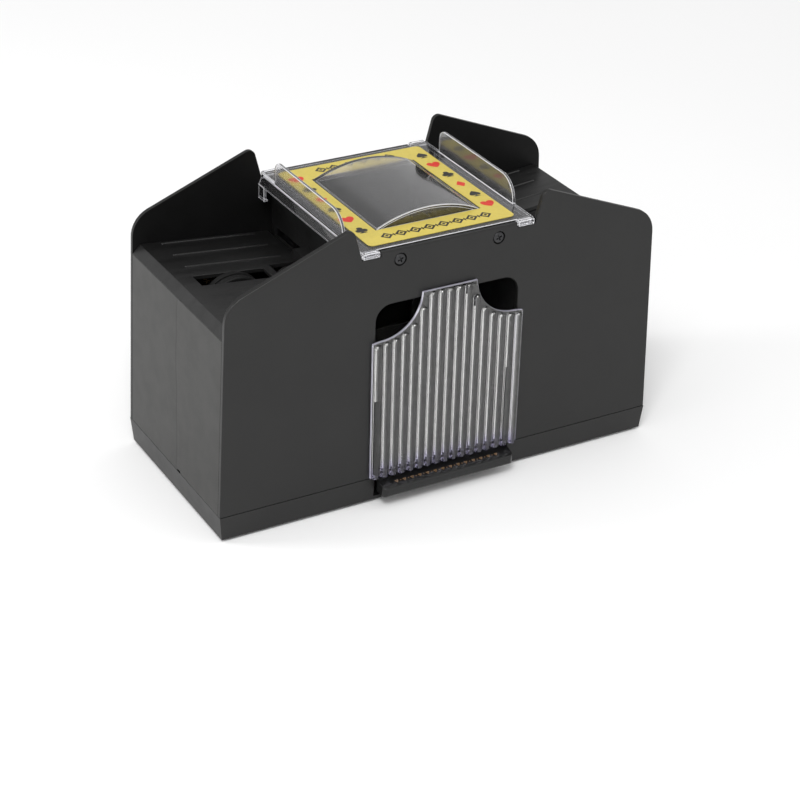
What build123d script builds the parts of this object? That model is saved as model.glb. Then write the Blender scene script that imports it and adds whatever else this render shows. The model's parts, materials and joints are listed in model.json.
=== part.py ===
"""Automatic card shuffler: a battery-driven table-top machine with two card trays and one bin.

The housing is modelled with its underside at z = 0 and its middle at x = y = 0.
X runs from tray to tray, -Y is the front with the card drawer, and Z is up.
Each piece is moved by HOME when it is written, so that the row's origin is the middle of
the whole machine's footprint, at the level that it stands on.
The drive is the same on both sides: it is modelled on the +X side and mirrored.
"""
from build123d import *
import os
from math import acos, atan2, cos, degrees, hypot, pi, radians, sin, sqrt, tan

# ---------------------------------------------------------------- housing
BIN_OUT = 40.0          # outer faces of the bin walls, from the middle
SIDE_RUN = 76.6         # bin wall to the end panel's outer face, at the seam
LENGTH = 2 * (BIN_OUT + SIDE_RUN)
DEPTH = 104.0           # over the front and back panels
RIM_H = 129.4           # top edge of the front and back panels, beside the lid
PANEL_T = 2.5
END_T = 2.5
SEAM_H = 12.7           # height of the base shell
END_DRAFT = 0.04        # the end panels lean inwards by this much per mm of height
END_DROP = 27.7         # rim down to the top of the end panels
CORNER_DROP = 10.5      # rim down to the panels' outer corners
CORNER_R = 14.0
PEAK_RISE = 14.4        # rim up to the panels' peaks, before they are rounded
PEAK_X = BIN_OUT + 9.6
PEAK_R = 3.5
NOTCH_DROP = 2.2
NOTCH_IN = BIN_OUT - 4.4
NOTCH_OUT = BIN_OUT + 5.2
EDGE_R = 0.6            # rounding of the panels' outer edges
SEAM_GAP = 0.05         # general clearance between pieces that sit beside each other
PRY_Y = -6.0            # a notch for a thumbnail, in the end panels' lower edge
PRY_W = 3.0
PRY_H = 1.0
FRONT_Y = -DEPTH / 2
HALF_D = DEPTH / 2
INNER_Y = HALF_D - PANEL_T

# ---------------------------------------------------------------- base
BASE_T = 2.0
BASE_TAPER = 1.1
FOOT_R = 5.0
FOOT_PROUD = 1.2
FOOT_INSET = 15.0
BASE_SCREW_INSET = 9.0
COLUMN_R = 3.6
COLUMN_H = 34.0

# ---------------------------------------------------------------- card trays
LIP_DROP = 23.5         # rim down to the top of the trays' outer lip
LIP_RUN = 3.95          # width of the sloping lip
TRAY_FALL = 0.097       # the trays fall towards the bin by this much per mm
TRAY_T = 2.0
TRAY_INNER = BIN_OUT + 2.5
RIB_YS = (HALF_D - 32.4, HALF_D - 18.6, HALF_D - 4.8)
RIB_W = 0.9
RIB_H = 0.45
RIB_FROM_LIP = 9.4
RIB_INNER = BIN_OUT + 10.0
TRAY_BOSS_R = 3.4

# ---------------------------------------------------------------- bin
BIN_WALL_T = 1.6
BIN_IN = BIN_OUT - BIN_WALL_T
CARD_SLOT_H = 5.4
CARD_SLOT_SIDE = 3.0    # wall left at each end of the card slot
DECK_T = 1.7
RAIL_T = 3.0
RAIL_H = 12.0
RIM_TO_WALL = 1.1       # rim down to the top of the bin walls

# ---------------------------------------------------------------- front opening and drawer
OPEN_X = BIN_IN - 0.7
OPEN_H = 102.6
OPEN_R = 8.0
DOOR_X = BIN_OUT
DOOR_LOW = 13.6
DOOR_SHOULDER = 84.8
DOOR_TOP = 105.9
DOOR_TAB_X = 14.4
DOOR_SCOOP_R = 21.3
DOOR_T = 1.6
DOOR_GAP = 0.3
DOOR_RIBS = 17
DOOR_RIB_PITCH = 0.117 * DOOR_X
DOOR_RIB_R = 1.75
DRAWER_X = BIN_IN - 1.4
DRAWER_T = 1.5
DRAWER_LENGTH = DEPTH - 10.0
DRAWER_SIDE_H = 40.0
DRAWER_REAR_H = 22.0

# ---------------------------------------------------------------- lid
LID_T = 1.6
LID_PROUD = 0.6         # top of the lid above the rim
LID_EDGE_X = BIN_OUT + 5.9
LID_GAP = 0.3           # lid to the panels' inner faces
LIP_OUT = 1.6           # the lid's side lips lean out by this much
LIP_H = 5.3
LID_FLANGE_T = 1.5
LID_FLANGE_FRONT = INNER_Y - 16.0
LID_FLANGE_BACK = INNER_Y - 14.0
LID_FLANGE_H = 11.7
FLANGE_FRONT_R = 11.0
FLANGE_BACK_R = 5.0
WINDOW_X = BIN_OUT - 12.5
WINDOW_Y = INNER_Y - 18.0
WINDOW_RISE = 6.5
WINDOW_T = 1.4
LABEL_X = BIN_OUT - 1.8
LABEL_Y = INNER_Y - 3.9
LABEL_R = 2.5
LABEL_T = 0.25
HOOK_W = 6.2
HOOK_H = 7.0
HOOK_T = 1.4
LID_FOOT_IN = NOTCH_IN + 0.8
LID_FOOT_OUT = NOTCH_OUT - 0.6
LID_FOOT_INNER = 1.3    # the feet reach this far inside the panels
FOOT_CLEAR = 0.2        # room under the feet, over the rails and walls

# ---------------------------------------------------------------- rollers and gears, +X side
FEED_R = 16.0
FEED_PROUD = 1.0        # the roller stands this far above the tray
EXIT_R = 9.5
EXIT_PROUD = 0.7
EXIT_U = BIN_OUT + EXIT_R + 3.0             # the rollers' axes, from the middle
FEED_U = EXIT_U + EXIT_R + FEED_R + 4.5
ROLLER_Y = 3.5
ROLLER_W = 8.0
RUBBER_T = 3.0
FEED_SLOT = 2 * FEED_R + 4.0
SLOT_W = 10.6
EXIT_SLOT = 2 * EXIT_R - 3.4
EXIT_SLOT_W = 16.5
SHAFT_R = 2.0
RUN_FIT = 0.05          # radial clearance of a shaft in its bush
PRESSURE = radians(25)
ADDENDUM = 0.85
DEDENDUM = 1.15
BACKLASH = 0.12
TRAIN_MODULE = 0.9
FEED_TEETH = 24
IDLER_TEETH = 22
EXIT_TEETH = 12
STEP_TEETH = 12
MOTOR_MODULE = 0.6
WHEEL_TEETH = 48
PINION_TEETH = 12
STEP_ANGLE = -100.0     # from the feed roller's axis to the reduction gear's, degrees
MOTOR_ANGLE = -39.0     # from the reduction gear's axis to the motor's, degrees
GEAR_W = 4.5
GEAR_PLATE_GAP = 2.0
GEAR_LAYER_GAP = 0.8
MOTOR_GEAR_W = 3.5
MOTOR_R = 10.0
MOTOR_FLAT = 7.7
MOTOR_LENGTH = 25.0
MOTOR_SHAFT_R = 1.0
PLATE_T = 2.0
PLATE_BACK = 19.0       # inner face of the back panel's outside to the rear plate
FRONT_PLATE_Y = FRONT_Y + 30.0
FRAME_IN = BIN_OUT + 4.0
FRAME_LOW = 46.0
FRAME_UNDER = 1.1       # room between the frames and the trays above them, at the bin
BUSH_R = 3.6
BUSH_HEAD_R = 4.6
PIN_R = 1.5
TAB_X = (BIN_OUT + 28.0, BIN_OUT + 64.0)

# ---------------------------------------------------------------- press bar and switch
BAR_X = BIN_IN - 2.6
BAR_REACH = 8.0         # the nose stands this far in front of the housing
BAR_TOP = 12.0
BAR_NOSE_TOP = 9.6
BAR_NOSE_LOW = 5.0
BAR_T = 2.0
BAR_END_R = 3.0
BAR_GAP = 0.9
BAR_PIVOT_Y = FRONT_Y + 16.0
BAR_PIVOT_Z = 9.3
BAR_BARREL_R = 3.0
BAR_PIN_R = 1.5
SPRING_X = 22.0
SPRING_Y = FRONT_Y + 6.0
SPRING_R = 2.5
SPRING_WIRE = 0.25
SPRING_TURNS = 4.0
SWITCH_X = 12.8
SWITCH_D = 5.8
SWITCH_H = 6.3
SWITCH_Y = FRONT_Y + 8.0
PLUNGER_R = 1.0
PLUNGER_GAP = 0.3
SWITCH_TAG_X = 4.2

# ---------------------------------------------------------------- battery bay, +X side
CELL_R = 7.25
CELL_LENGTH = 50.5
CELLS = 4
CELL_PITCH = 2 * CELL_R + 0.4
BAY_END = 5.5           # room for a contact at each end of a cell
BAY_WALL = 1.5
BAY_U = BIN_OUT + 38.0
COVER_T = 1.8
COVER_GAP = 0.15
COVER_BOSS_R = 2.6
COVER_BOSS_H = 8.0
CONTACT_W = 9.2

# ---------------------------------------------------------------- motor leads, +X side
LEAD_R = 0.8
LEAD_PASS_Y = -30.5     # where a lead passes under the bin wall
LEAD_LOW = 4.6

# ---------------------------------------------------------------- screws
SCREW_R = 1.3
SCREW_HEAD_R = 2.9
SCREW_HEAD_H = 1.5
FLAT_HEAD_H = 0.8
PANEL_SCREW_X = 25.8
PANEL_SCREW_DROP = 5.4
SCREW_FIT = 0.02

# ---------------------------------------------------------------- worked out
END_TOP = RIM_H - END_DROP
LIP_TOP = RIM_H - LIP_DROP
NOTCH_Z = RIM_H - NOTCH_DROP
WALL_TOP = RIM_H - RIM_TO_WALL
DECK_Z = SEAM_H + 0.2
LID_TOP = RIM_H + LID_PROUD
PLATE_Y = HALF_D - PLATE_BACK
LAYER_A = (PLATE_Y + GEAR_PLATE_GAP, PLATE_Y + GEAR_PLATE_GAP + GEAR_W)
LAYER_B = (LAYER_A[1] + GEAR_LAYER_GAP, LAYER_A[1] + GEAR_LAYER_GAP + MOTOR_GEAR_W)
HOME = Pos(0, BAR_REACH / 2, FOOT_PROUD)


def half_length(z):
    """Distance from the middle to the end panels' outer face at height z."""
    return LENGTH / 2 - END_DRAFT * (z - SEAM_H)


TRAY_OUTER = half_length(END_TOP) - LIP_RUN


def tray_z(u):
    """Height of a tray's surface at distance u from the middle."""
    return LIP_TOP - TRAY_FALL * (TRAY_OUTER - u)


FRAME_TOP = tray_z(FRAME_IN) - TRAY_T - FRAME_UNDER
FEED_Z = tray_z(FEED_U) + FEED_PROUD - FEED_R
EXIT_Z = tray_z(EXIT_U) + EXIT_PROUD - EXIT_R


def pitch_radius(teeth, module):
    return teeth * module / 2


def between(first, first_reach, second, second_reach):
    """The lower of the two points that lie at the given distances from two axes."""
    run = second[0] - first[0]
    rise = second[1] - first[1]
    span = hypot(run, rise)
    along = (first_reach**2 - second_reach**2 + span**2) / (2 * span)
    aside = sqrt(first_reach**2 - along**2)
    u = first[0] + (along * run + aside * rise) / span
    z = first[1] + (along * rise - aside * run) / span
    return (u, z) if z < first[1] else (u - 2 * aside * rise / span, z + 2 * aside * run / span)


def polar(centre, reach, angle):
    return (centre[0] + reach * cos(radians(angle)), centre[1] + reach * sin(radians(angle)))


FEED_AXIS = (FEED_U, FEED_Z)
EXIT_AXIS = (EXIT_U, EXIT_Z)
IDLER_AXIS = between(
    FEED_AXIS, pitch_radius(FEED_TEETH + IDLER_TEETH, TRAIN_MODULE),
    EXIT_AXIS, pitch_radius(EXIT_TEETH + IDLER_TEETH, TRAIN_MODULE))
STEP_AXIS = polar(FEED_AXIS, pitch_radius(FEED_TEETH + STEP_TEETH, TRAIN_MODULE), -180 - STEP_ANGLE)
MOTOR_AXIS = polar(STEP_AXIS, pitch_radius(WHEEL_TEETH + PINION_TEETH, MOTOR_MODULE), MOTOR_ANGLE)
FRAME_OUT = MOTOR_AXIS[0] + MOTOR_R + 1.2


# ================================================================ helpers
def block(x0, x1, y0, y1, z0, z1):
    """A plain block between two corners."""
    return Pos((x0 + x1) / 2, (y0 + y1) / 2, (z0 + z1) / 2) * Box(x1 - x0, y1 - y0, z1 - z0)


def rod_x(y, z, x0, x1, radius):
    """A round bar along X."""
    return Pos((x0 + x1) / 2, y, z) * Rot(0, 90, 0) * Cylinder(radius, x1 - x0)


def rod_y(x, z, y0, y1, radius):
    """A round bar along Y."""
    return Pos(x, (y0 + y1) / 2, z) * Rot(90, 0, 0) * Cylinder(radius, y1 - y0)


def rod_z(x, y, z0, z1, radius):
    """A round bar along Z."""
    return Pos(x, y, (z0 + z1) / 2) * Cylinder(radius, z1 - z0)


def slab_y(face, y0, y1):
    """A face drawn in X and Z, made solid from y0 to y1."""
    return extrude(Plane.XZ.offset(-y1) * face, amount=y1 - y0)


def slab_x(face, x0, x1):
    """A face drawn in Y and Z, made solid from x0 to x1."""
    return extrude(Plane.YZ.offset(x0) * face, amount=x1 - x0)


def outline(points):
    return make_face(Polyline(*points, close=True))


def round_corners(face, points, radius):
    """Round the corners of a face that lie at the given points."""
    corners = [v for v in face.vertices() if any(hypot(v.X - p[0], v.Y - p[1]) < 0.01 for p in points)]
    return fillet(corners, radius)


def mirrored(shape):
    return mirror(shape, about=Plane.YZ)


def both(shape):
    """A shape and its mirror image across the middle of the machine."""
    return [shape, mirrored(shape)]


def write(name, shape):
    """Write one piece, or a list of separate like solids, as a node."""
    pieces = shape if isinstance(shape, list) else [shape]
    solids = [HOME * solid for piece in pieces for solid in piece.solids()]
    whole = solids[0] if len(solids) == 1 else Compound(children=solids)
    export_step(whole, f"parts/{name}.step")


# ================================================================ housing
def panel_face():
    """The front and back panels' outline: two peaks, with the rim and its notches between them."""
    corner_z = RIM_H - CORNER_DROP
    corner = (half_length(corner_z), corner_z)
    peak = (PEAK_X, RIM_H + PEAK_RISE)
    right = [(LENGTH / 2, SEAM_H), corner, peak, (NOTCH_OUT, NOTCH_Z), (NOTCH_IN, NOTCH_Z), (NOTCH_IN, RIM_H)]
    left = [(-x, z) for x, z in reversed(right)]
    face = outline(right + left)
    face = round_corners(face, [corner, (-corner[0], corner[1])], CORNER_R)
    return round_corners(face, [peak, (-peak[0], peak[1])], PEAK_R)


def opening_face():
    """The front panel's opening, which the drawer closes."""
    top = (OPEN_X, OPEN_H)
    low = SEAM_H - 1
    face = outline([(OPEN_X, low), top, (-OPEN_X, OPEN_H), (-OPEN_X, low)])
    return round_corners(face, [top, (-OPEN_X, OPEN_H)], OPEN_R)


def panel_screw_places():
    return [(side * PANEL_SCREW_X, RIM_H - PANEL_SCREW_DROP) for side in (-1, 1)]


def screw_seat(x, z, y, outward):
    """The hole and the countersunk seat of a panel screw whose head is flush with face y."""
    head = rod_y(x, z, min(y, y - outward * (SCREW_HEAD_H + 0.1)), max(y, y - outward * (SCREW_HEAD_H + 0.1)),
                 SCREW_HEAD_R + 0.25)
    shank = rod_y(x, z, y - 6, y + 6, SCREW_R + 0.15)
    return head + shank


def front_panel():
    panel = slab_y(panel_face(), FRONT_Y, FRONT_Y + PANEL_T)
    panel -= slab_y(opening_face(), FRONT_Y - 1, FRONT_Y + PANEL_T + 1)
    panel = fillet(panel.faces().sort_by(Axis.Y)[0].edges(), EDGE_R)
    for x, z in panel_screw_places():
        panel -= screw_seat(x, z, FRONT_Y, -1)
    return panel


def back_panel():
    panel = slab_y(panel_face(), HALF_D - PANEL_T, HALF_D)
    panel = fillet(panel.faces().sort_by(Axis.Y)[-1].edges(), EDGE_R)
    for x, z in panel_screw_places():
        panel -= screw_seat(x, z, HALF_D, 1)
    return panel


def column_places():
    """The screw columns in the corners: distances from the middle along X and Y."""
    return LENGTH / 2 - BASE_SCREW_INSET, INNER_Y - BASE_SCREW_INSET + 2


def end_panel():
    """One end panel, with its two screw columns and the ledge that carries the tray."""
    outer_low = (LENGTH / 2, SEAM_H)
    outer_high = (half_length(END_TOP), END_TOP)
    wall = outline([outer_low, outer_high, (outer_high[0] - END_T, END_TOP), (outer_low[0] - END_T, SEAM_H)])
    panel = slab_y(wall, -INNER_Y, INNER_Y)
    x, y = column_places()
    top = SEAM_H + COLUMN_H
    for side in (-1, 1):
        web = block(x, half_length(top) - END_T + 0.4, side * y - 0.8, side * y + 0.8, SEAM_H, top)
        panel += rod_z(x, side * y, BASE_T, top, COLUMN_R) + web
        panel -= rod_z(x, side * y, BASE_T - 1, BASE_T + 14, SCREW_R + SCREW_FIT)
    panel -= block(LENGTH / 2 - 1.2, LENGTH / 2 + 1, PRY_Y - PRY_W / 2, PRY_Y + PRY_W / 2, SEAM_H - 1, SEAM_H + PRY_H)
    return panel


def base_shell():
    """The shallow shell under everything, open at the top."""
    taper = degrees(atan2(BASE_TAPER, SEAM_H))
    foot_print = Rectangle(LENGTH - 2 * BASE_TAPER, DEPTH - 2 * BASE_TAPER)
    shell = extrude(foot_print, amount=SEAM_H, taper=-taper)
    shell = fillet(shell.edges().group_by(Axis.Z)[0], EDGE_R)
    room_x = LENGTH / 2 - END_T
    room_y = INNER_Y
    shell -= block(-room_x, room_x, -room_y, room_y, BASE_T, SEAM_H + 1)
    slot = BAR_X + BAR_GAP
    shell -= block(-slot, slot, FRONT_Y - 1, -room_y + 1, BASE_T, SEAM_H + 1)
    shell -= bay_hole(0)
    for x, y in base_corners():
        shell -= rod_z(x, y, -1, BASE_T + 1, SCREW_R + 0.15)
        shell -= rod_z(x, y, -1, FLAT_HEAD_H + 0.1, SCREW_HEAD_R + 0.2)
    for x, y in foot_places():
        shell -= rod_z(x, y, -1, 0.6, FOOT_R)
    for side in (-1, 1):
        shell += pivot_post(side)
    return shell


def base_corners():
    x, y = column_places()
    return [(sx * x, sy * y) for sx in (-1, 1) for sy in (-1, 1)]


def foot_places():
    x = LENGTH / 2 - FOOT_INSET - 12
    y = HALF_D - FOOT_INSET + 3
    return [(sx * x, sy * y) for sx in (-1, 1) for sy in (-1, 1)]


def rubber_feet():
    return [fillet(rod_z(x, y, -FOOT_PROUD, 0.6, FOOT_R).edges().group_by(Axis.Z)[0], 0.4)
            for x, y in foot_places()]


def pivot_post(side):
    """One of the two posts that carry the press bar's pin."""
    x0 = BIN_IN - 2.2
    x1 = BIN_IN - 0.2
    rise = block(x0, x1, BAR_PIVOT_Y - 3, BAR_PIVOT_Y + 3, BASE_T - 0.5, BAR_PIVOT_Z + 2.6)
    post = rise - rod_x(BAR_PIVOT_Y, BAR_PIVOT_Z, x0 - 1, x1 + 1, BAR_PIN_R + SCREW_FIT)
    return post if side > 0 else mirrored(post)


# ================================================================ trays and bin
def slot_block(u, length, width, z0, z1):
    return block(u - length / 2, u + length / 2, ROLLER_Y - width / 2, ROLLER_Y + width / 2, z0, z1)


def card_tray():
    """A sloping card tray with its outer lip, ribs, roller slots and frame bosses."""
    outer = half_length(END_TOP)
    under = TRAY_OUTER - 1.0
    floor = outline([
        (outer, END_TOP),
        (TRAY_OUTER, LIP_TOP),
        (TRAY_INNER, tray_z(TRAY_INNER)),
        (TRAY_INNER, tray_z(TRAY_INNER) - TRAY_T),
        (under, tray_z(under) - TRAY_T),
        (outer - END_T, END_TOP),
    ])
    reach = INNER_Y - SEAM_GAP
    tray = slab_y(floor, -reach, reach)
    rib_outer = TRAY_OUTER - RIB_FROM_LIP
    for y in RIB_YS:
        rib = outline([
            (RIB_INNER, tray_z(RIB_INNER) - 0.3),
            (rib_outer, tray_z(rib_outer) - 0.3),
            (rib_outer - 0.6, tray_z(rib_outer - 0.6) + RIB_H),
            (RIB_INNER + 0.6, tray_z(RIB_INNER + 0.6) + RIB_H),
        ])
        tray += slab_y(rib, y - RIB_W / 2, y + RIB_W / 2)
    for u in TAB_X:
        for y in frame_screw_ys():
            boss = rod_z(u, y, FRAME_TOP, tray_z(u) - TRAY_T / 2, TRAY_BOSS_R)
            tray += boss - rod_z(u, y, FRAME_TOP - 1, tray_z(u) - TRAY_T, SCREW_R + SCREW_FIT)
    tray -= slot_block(FEED_U, FEED_SLOT, SLOT_W, FRAME_TOP, LIP_TOP + 5)
    tray -= slot_block(EXIT_U, EXIT_SLOT, EXIT_SLOT_W, tray_z(TRAY_INNER) - 3, LIP_TOP + 5)
    return tray


def card_slot_z():
    """Bottom and top of the slot that a card passes on its way into the bin."""
    low = tray_z(TRAY_INNER) - TRAY_T - 0.2
    return low, low + CARD_SLOT_H


def bin_wall():
    """The wall between one card tray and the bin, with its card slot."""
    reach = INNER_Y - SEAM_GAP
    wall = block(BIN_IN, BIN_OUT, -reach, reach, BASE_T + SEAM_GAP, WALL_TOP)
    low, high = card_slot_z()
    wall -= block(BIN_IN - 1, BIN_OUT + 1, -reach + CARD_SLOT_SIDE, reach - CARD_SLOT_SIDE, low, high)
    wall -= block(BIN_IN - 1, BIN_OUT + 1, -34, -27, BASE_T - 1, 9)
    wall = fillet(wall.edges().group_by(Axis.Z)[-1].filter_by(Axis.Y), 0.4)
    for side in (-1, 1):
        end = side * INNER_Y
        near = end - side * (LID_FOOT_INNER + 0.6)
        wall -= block(BIN_IN - 1, BIN_OUT + 1, min(end, near), max(end, near), NOTCH_Z - FOOT_CLEAR, WALL_TOP + 1)
    return wall


def retard_pad():
    """The rubber strip over the exit roller that holds back all but the lowest card."""
    low, high = card_slot_z()
    gap = EXIT_Z + EXIT_R + 0.5
    half = EXIT_SLOT_W / 2
    return block(BIN_OUT, BIN_OUT + 8, ROLLER_Y - half, ROLLER_Y + half, high, high + 4) + \
        block(BIN_OUT + 4, BIN_OUT + 8, ROLLER_Y - half, ROLLER_Y + half, max(gap, low), high)


def bin_deck():
    """The floor of the bin, over the press bar's mechanism."""
    x = BIN_IN - SEAM_GAP
    y = INNER_Y - SEAM_GAP
    deck = block(-x, x, -y, y, DECK_Z, DECK_Z + DECK_T)
    for side in (-1, 1):
        leg = block(-1, 1, -1, y - 4, BASE_T, DECK_Z + 0.5)
        deck += Pos(side * (x - 8), 0, 0) * leg
    return deck


def top_rail(front):
    """A rail between the bin walls, behind a panel, that the panel's screws bite into."""
    x = BIN_IN - SEAM_GAP
    high = NOTCH_Z - FOOT_CLEAR
    rail = block(-x, x, INNER_Y - RAIL_T, INNER_Y - SEAM_GAP, high - RAIL_H, high)
    for sx, sz in panel_screw_places():
        rail += rod_y(sx, sz, INNER_Y - RAIL_T - 4, INNER_Y - SEAM_GAP, min(3.4, high - sz - 0.1))
        rail -= rod_y(sx, sz, INNER_Y - RAIL_T - 3.5, INNER_Y + 1, SCREW_R + SCREW_FIT)
    return mirror(rail, about=Plane.XZ) if front else rail


# ================================================================ drive
def tooth_outline(teeth, module):
    """The points of an involute spur gear about the origin, a tooth centred on the first axis."""
    pitch = pitch_radius(teeth, module)
    base = pitch * cos(PRESSURE)
    tip = pitch + ADDENDUM * module
    root = pitch - DEDENDUM * module
    start = max(base, root)
    half_pitch = pi / (2 * teeth) - BACKLASH / (2 * pitch)
    involute_at_pitch = tan(PRESSURE) - PRESSURE
    steps = 5
    radii = [start + (tip - start) * i / (steps - 1) for i in range(steps)]
    flank = [(root, half_pitch + involute_at_pitch)]
    for radius in radii:
        roll = acos(min(1.0, base / radius))
        flank.append((radius, half_pitch + involute_at_pitch - tan(roll) + roll))
    if flank[0][0] >= flank[1][0] - 1e-6:
        flank = flank[1:]
    points = []
    for tooth in range(teeth):
        centre = 2 * pi * tooth / teeth
        points += [(r * cos(centre - a), r * sin(centre - a)) for r, a in flank]
        points += [(r * cos(centre + a), r * sin(centre + a)) for r, a in reversed(flank)]
    return points


def spur(teeth, module, axis, turn, y0, y1):
    """A spur gear on an axis along Y, turned by `turn` radians from X towards Z."""
    face = outline(tooth_outline(teeth, module))
    return slab_y(Pos(axis[0], axis[1]) * Rot(0, 0, degrees(turn)) * face, y0, y1)


def mesh_turn(first_axis, first_turn, first_teeth, second_axis, second_teeth):
    """The turn that puts the second gear's gap on the first gear's tooth, where they meet."""
    line = atan2(second_axis[1] - first_axis[1], second_axis[0] - first_axis[0])
    phase = (line - first_turn) * first_teeth / (2 * pi)
    return line + pi - (0.5 - phase) * 2 * pi / second_teeth


FEED_TURN = 0.0
IDLER_TURN = mesh_turn(FEED_AXIS, FEED_TURN, FEED_TEETH, IDLER_AXIS, IDLER_TEETH)
EXIT_TURN = mesh_turn(IDLER_AXIS, IDLER_TURN, IDLER_TEETH, EXIT_AXIS, EXIT_TEETH)
STEP_TURN = mesh_turn(FEED_AXIS, FEED_TURN, FEED_TEETH, STEP_AXIS, STEP_TEETH)
PINION_TURN = mesh_turn(STEP_AXIS, STEP_TURN, WHEEL_TEETH, MOTOR_AXIS, PINION_TEETH)


def shaft(axis):
    """A roller's shaft, from the front plate's bush to the gear."""
    return rod_y(axis[0], axis[1], FRONT_PLATE_Y - 2.5, LAYER_A[1] + 0.4, SHAFT_R)


def roller_hub(axis, radius):
    """The moulded hub under a roller's rubber, with a boss each side and lightening holes."""
    half = ROLLER_W / 2
    rim = radius - RUBBER_T
    hub = rod_y(axis[0], axis[1], ROLLER_Y - half, ROLLER_Y + half, rim)
    hub += rod_y(axis[0], axis[1], ROLLER_Y - half - 2.5, ROLLER_Y + half + 2.5, SHAFT_R + 1.8)
    hub -= rod_y(axis[0], axis[1], ROLLER_Y - half - 3, ROLLER_Y + half + 3, SHAFT_R)
    ring = (rim - 1.2 + SHAFT_R + 1.8) / 2
    hole = min((rim - 1.2 - SHAFT_R - 1.8) / 2 - 0.4, ring / 2 - 0.3)
    if hole > 1.0:
        for i in range(6):
            u, z = polar(axis, ring, 60 * i)
            hub -= rod_y(u, z, ROLLER_Y - half - 1, ROLLER_Y + half + 1, hole)
    return hub


def roller_rubber(axis, radius):
    """A roller's rubber ring, with its two rounded edges and a groove round the middle."""
    half = ROLLER_W / 2
    ring = rod_y(axis[0], axis[1], ROLLER_Y - half, ROLLER_Y + half, radius)
    ring = fillet(ring.edges().filter_by(GeomType.CIRCLE), 0.8)
    ring -= rod_y(axis[0], axis[1], ROLLER_Y - half - 1, ROLLER_Y + half + 1, radius - RUBBER_T)
    groove = rod_y(axis[0], axis[1], ROLLER_Y - 0.5, ROLLER_Y + 0.5, radius + 1)
    groove -= rod_y(axis[0], axis[1], ROLLER_Y - 1, ROLLER_Y + 1, radius - 0.6)
    return ring - groove


def roller_gear(axis, teeth, turn):
    """A gear pressed on a roller's shaft, with a hub towards the plate."""
    gear = spur(teeth, TRAIN_MODULE, axis, turn, *LAYER_A)
    gear += rod_y(axis[0], axis[1], PLATE_Y + 1.2, LAYER_A[0] + 0.5, SHAFT_R + 1.2)
    return gear - rod_y(axis[0], axis[1], PLATE_Y, LAYER_A[1] + 1, SHAFT_R)


def pin_gear_bore(gear, axis, y1):
    return gear - rod_y(axis[0], axis[1], PLATE_Y, y1 + 1, PIN_R + RUN_FIT)


def idler_gear():
    gear = spur(IDLER_TEETH, TRAIN_MODULE, IDLER_AXIS, IDLER_TURN, *LAYER_A)
    gear += rod_y(*IDLER_AXIS, PLATE_Y + 0.3, LAYER_A[0] + 0.5, PIN_R + 1.6)
    return pin_gear_bore(gear, IDLER_AXIS, LAYER_A[1])


def reduction_gear():
    """The stepped gear: a large wheel for the motor and a small one for the feed roller."""
    gear = spur(STEP_TEETH, TRAIN_MODULE, STEP_AXIS, STEP_TURN, LAYER_A[0], LAYER_B[0])
    gear += spur(WHEEL_TEETH, MOTOR_MODULE, STEP_AXIS, STEP_TURN, *LAYER_B)
    gear += rod_y(*STEP_AXIS, PLATE_Y + 0.3, LAYER_A[0] + 0.5, PIN_R + 1.6)
    for i in range(5):
        u, z = polar(STEP_AXIS, 9.6, 72 * i)
        gear -= rod_y(u, z, LAYER_B[0] - 1, LAYER_B[1] + 1, 2.2)
    return pin_gear_bore(gear, STEP_AXIS, LAYER_B[1])


def motor_pinion():
    """The brass pinion pressed on the motor's shaft."""
    pinion = spur(PINION_TEETH, MOTOR_MODULE, MOTOR_AXIS, PINION_TURN, *LAYER_B)
    return pinion - rod_y(*MOTOR_AXIS, LAYER_B[0] - 1, LAYER_B[1] + 1, MOTOR_SHAFT_R)


def motor_shaft():
    inner = PLATE_Y - PLATE_T - 12
    return rod_y(*MOTOR_AXIS, inner, LAYER_B[1] + 0.4, MOTOR_SHAFT_R)


def motor_can():
    """A small flat-sided motor with its nose, rear cap and two terminals."""
    front = PLATE_Y - PLATE_T
    can = rod_y(*MOTOR_AXIS, front - MOTOR_LENGTH, front, MOTOR_R)
    u, z = MOTOR_AXIS
    can &= block(u - MOTOR_R - 1, u + MOTOR_R + 1, front - MOTOR_LENGTH - 1, front + 1,
                 z - MOTOR_FLAT, z + MOTOR_FLAT)
    can += rod_y(u, z, front - MOTOR_LENGTH - 1.5, front - MOTOR_LENGTH, 5.0)
    can += rod_y(u, z, front, PLATE_Y - 0.2, 3.0)
    for side in (-1, 1):
        can += block(u + side * 6.4 - 0.9, u + side * 6.4 + 0.9, front - MOTOR_LENGTH - 3.2,
                     front - MOTOR_LENGTH, z - 0.25, z + 0.25)
    can -= rod_y(u, z, front - 12 - SEAM_GAP, PLATE_Y + 1, MOTOR_SHAFT_R + RUN_FIT)
    return can


def frame_screw_ys():
    """Where the drive frame's screws stand along Y: beside each plate, inside the frame."""
    return FRONT_PLATE_Y + PLATE_T + 3.5, PLATE_Y - PLATE_T - 3.5


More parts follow.
